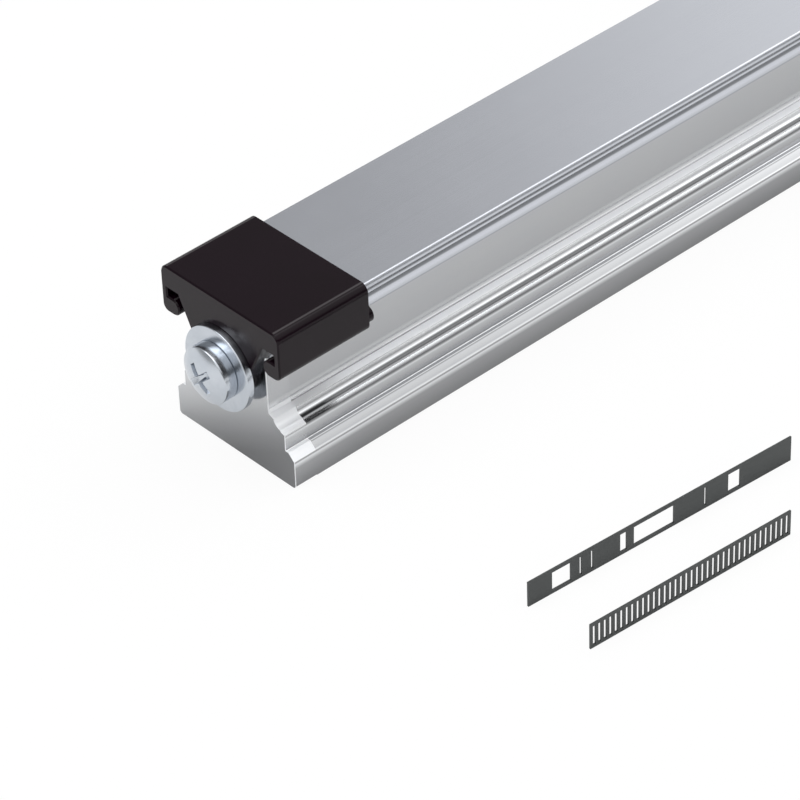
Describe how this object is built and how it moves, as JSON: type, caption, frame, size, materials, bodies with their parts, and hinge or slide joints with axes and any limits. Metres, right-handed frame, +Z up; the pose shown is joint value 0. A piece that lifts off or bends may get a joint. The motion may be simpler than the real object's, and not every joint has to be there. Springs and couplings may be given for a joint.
{
  "type": "profiled guide rail with integrated position scale",
  "caption": "Profiled guide rail with a clip-on cover strip, screwed plastic end caps and perforated position scales sealed into the sides of its foot.",
  "frame": {"origin": "middle of the rail's seating face, between the second and the third mounting hole", "axes": "+Z up from the seating face, +Y along the rail towards its far end, +X towards the side with the incremental scale"},
  "size_m": [0.0747, 0.2472, 0.0255],
  "materials": {
    "rail_steel": "ground",
    "strip_steel": "bright rolled spring steel",
    "code_steel": "matt dark, etched",
    "backing_tape": "matt",
    "foil_steel": "ground",
    "groove_seal": "cast sealant",
    "cap_plastic": "moulded, satin",
    "zinc_fastener": "bright zinc"
  },
  "bodies": {
    "rail": {"guide_rail": "rail_steel", "absolute_code_strip": "code_steel", "incremental_code_strip": "code_steel", "loose_absolute_strip": "code_steel", "loose_incremental_strip": "code_steel", "absolute_backing_tape": "backing_tape", "incremental_backing_tape": "backing_tape", "absolute_cover_foil": "foil_steel", "incremental_cover_foil": "foil_steel", "near_absolute_groove_seal": "groove_seal", "near_incremental_groove_seal": "groove_seal", "far_absolute_groove_seal": "groove_seal", "far_incremental_groove_seal": "groove_seal"},
    "cover_strip": {"cover_strip": "strip_steel"},
    "near_cap": {"near_end_cap": "cap_plastic"},
    "near_washer": {"near_cap_washer": "zinc_fastener"},
    "near_screw": {"near_cap_screw": "zinc_fastener"},
    "far_cap": {"far_end_cap": "cap_plastic"},
    "far_washer": {"far_cap_washer": "zinc_fastener"},
    "far_screw": {"far_cap_screw": "zinc_fastener"}
  },
  "joints": [
    {"name": "cover_strip_slide", "type": "slide", "parent": "rail", "child": "cover_strip", "axis": [0, -1, 0], "range_m": [0, 0.208]},
    {"name": "near_cap_slide", "type": "slide", "parent": "cover_strip", "child": "near_cap", "axis": [0, -1, 0], "range_m": [0, 0.03]},
    {"name": "near_washer_slide", "type": "slide", "parent": "near_cap", "child": "near_washer", "axis": [0, -1, 0], "range_m": [0, 0.007]},
    {"name": "near_screw_turn", "type": "hinge", "parent": "near_washer", "child": "near_screw", "pos_m": [0, -0.122, 0.01482], "axis": [0, -1, 0], "range_deg": [0, 3610]},
    {"name": "far_cap_slide", "type": "slide", "parent": "rail", "child": "far_cap", "axis": [0, 1, 0], "range_m": [0, 0.03]},
    {"name": "far_washer_slide", "type": "slide", "parent": "far_cap", "child": "far_washer", "axis": [0, 1, 0], "range_m": [0, 0.007]},
    {"name": "far_screw_turn", "type": "hinge", "parent": "far_washer", "child": "far_screw", "pos_m": [0, 0.122, 0.01482], "axis": [0, 1, 0], "range_deg": [0, 3610]}
  ],
  "couplings": [
    {"joint": "near_screw_turn", "follows": "near_washer_slide", "rad_per_m": 8976},
    {"joint": "far_screw_turn", "follows": "far_washer_slide", "rad_per_m": 8976}
  ]
}
